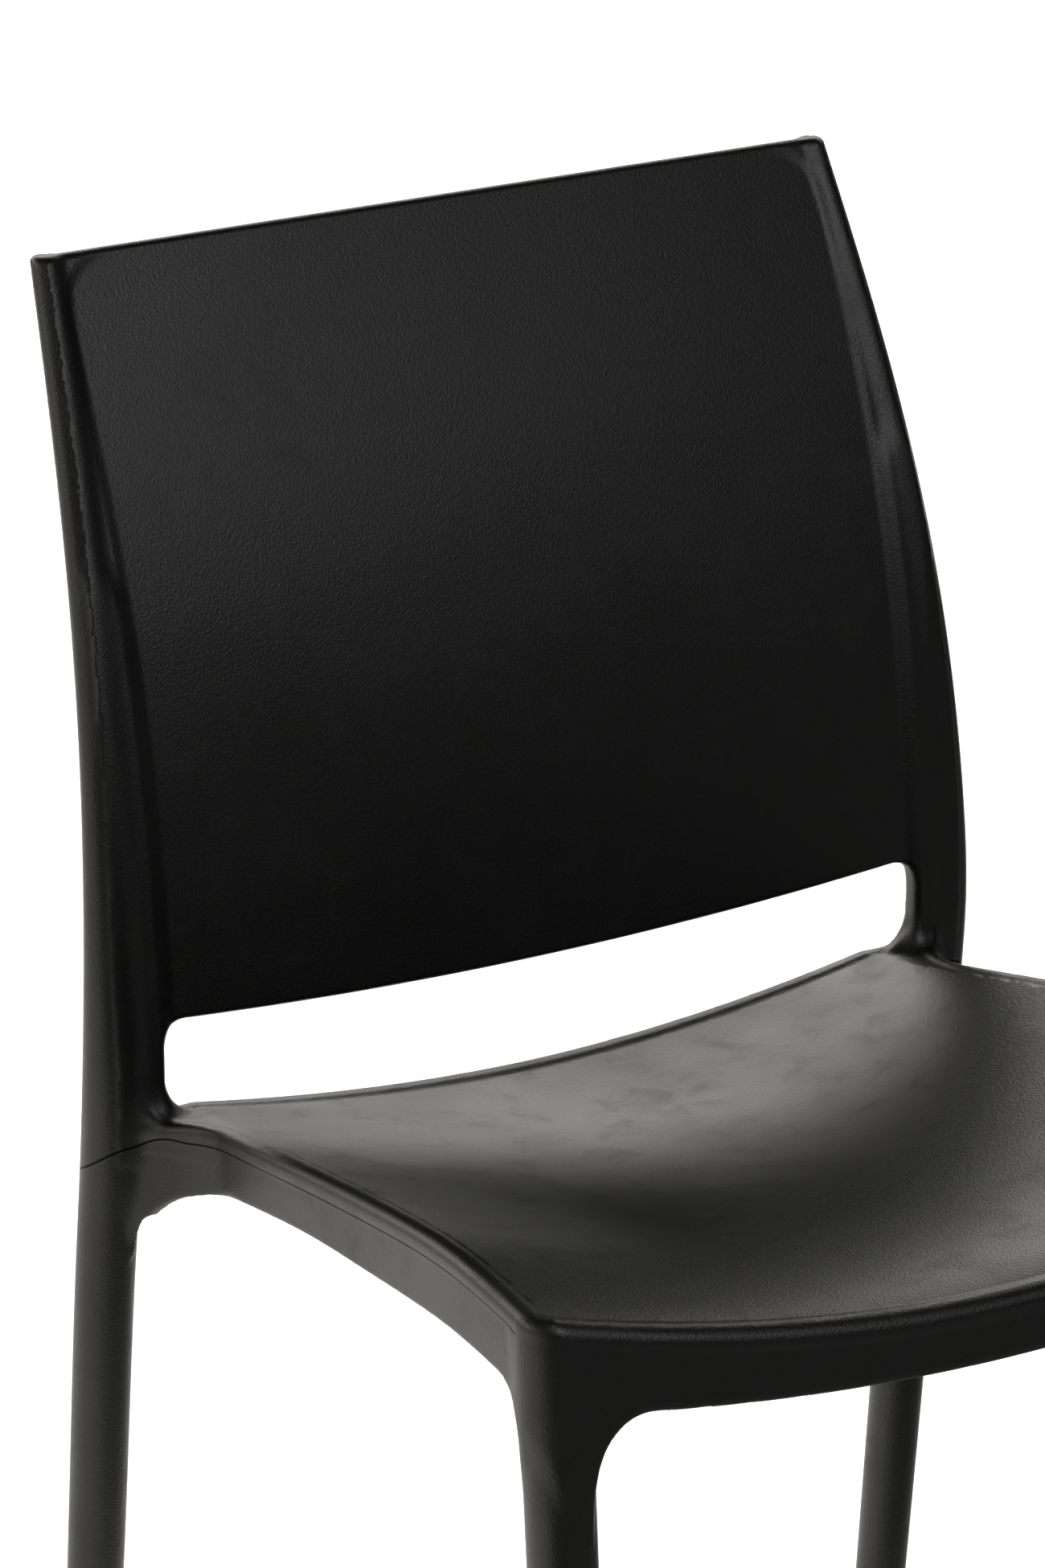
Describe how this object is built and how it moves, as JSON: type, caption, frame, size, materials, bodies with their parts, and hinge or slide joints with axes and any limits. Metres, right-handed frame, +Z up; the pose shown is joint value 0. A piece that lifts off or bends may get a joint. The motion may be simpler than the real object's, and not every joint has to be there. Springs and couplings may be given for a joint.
{
  "type": "stacking chair",
  "caption": "Armless moulded stacking chair with a curved back panel, a hand-hold slot above a dished seat, and four splayed legs on foot glides.",
  "frame": {"origin": "on the floor, at the middle of the chair's footprint", "axes": "+Z up, the chair faces -Y, +X is the sitter's left"},
  "size_m": [0.4468, 0.4874, 0.815],
  "materials": {
    "moulded_plastic": "fine-grained matt black polypropylene",
    "glide": "plain dark elastomer"
  },
  "bodies": {
    "root": {"seat_shell": "moulded_plastic", "back_panel": "moulded_plastic", "back_upright_left": "moulded_plastic", "back_upright_right": "moulded_plastic", "rear_leg_left": "moulded_plastic", "rear_leg_right": "moulded_plastic", "front_leg_left": "moulded_plastic", "front_leg_right": "moulded_plastic", "side_rail_left": "moulded_plastic", "side_rail_right": "moulded_plastic", "front_rail": "moulded_plastic", "rear_rail": "moulded_plastic", "foot_glide_front_left": "glide", "foot_glide_front_right": "glide", "foot_glide_rear_left": "glide", "foot_glide_rear_right": "glide"}
  },
  "joints": []
}
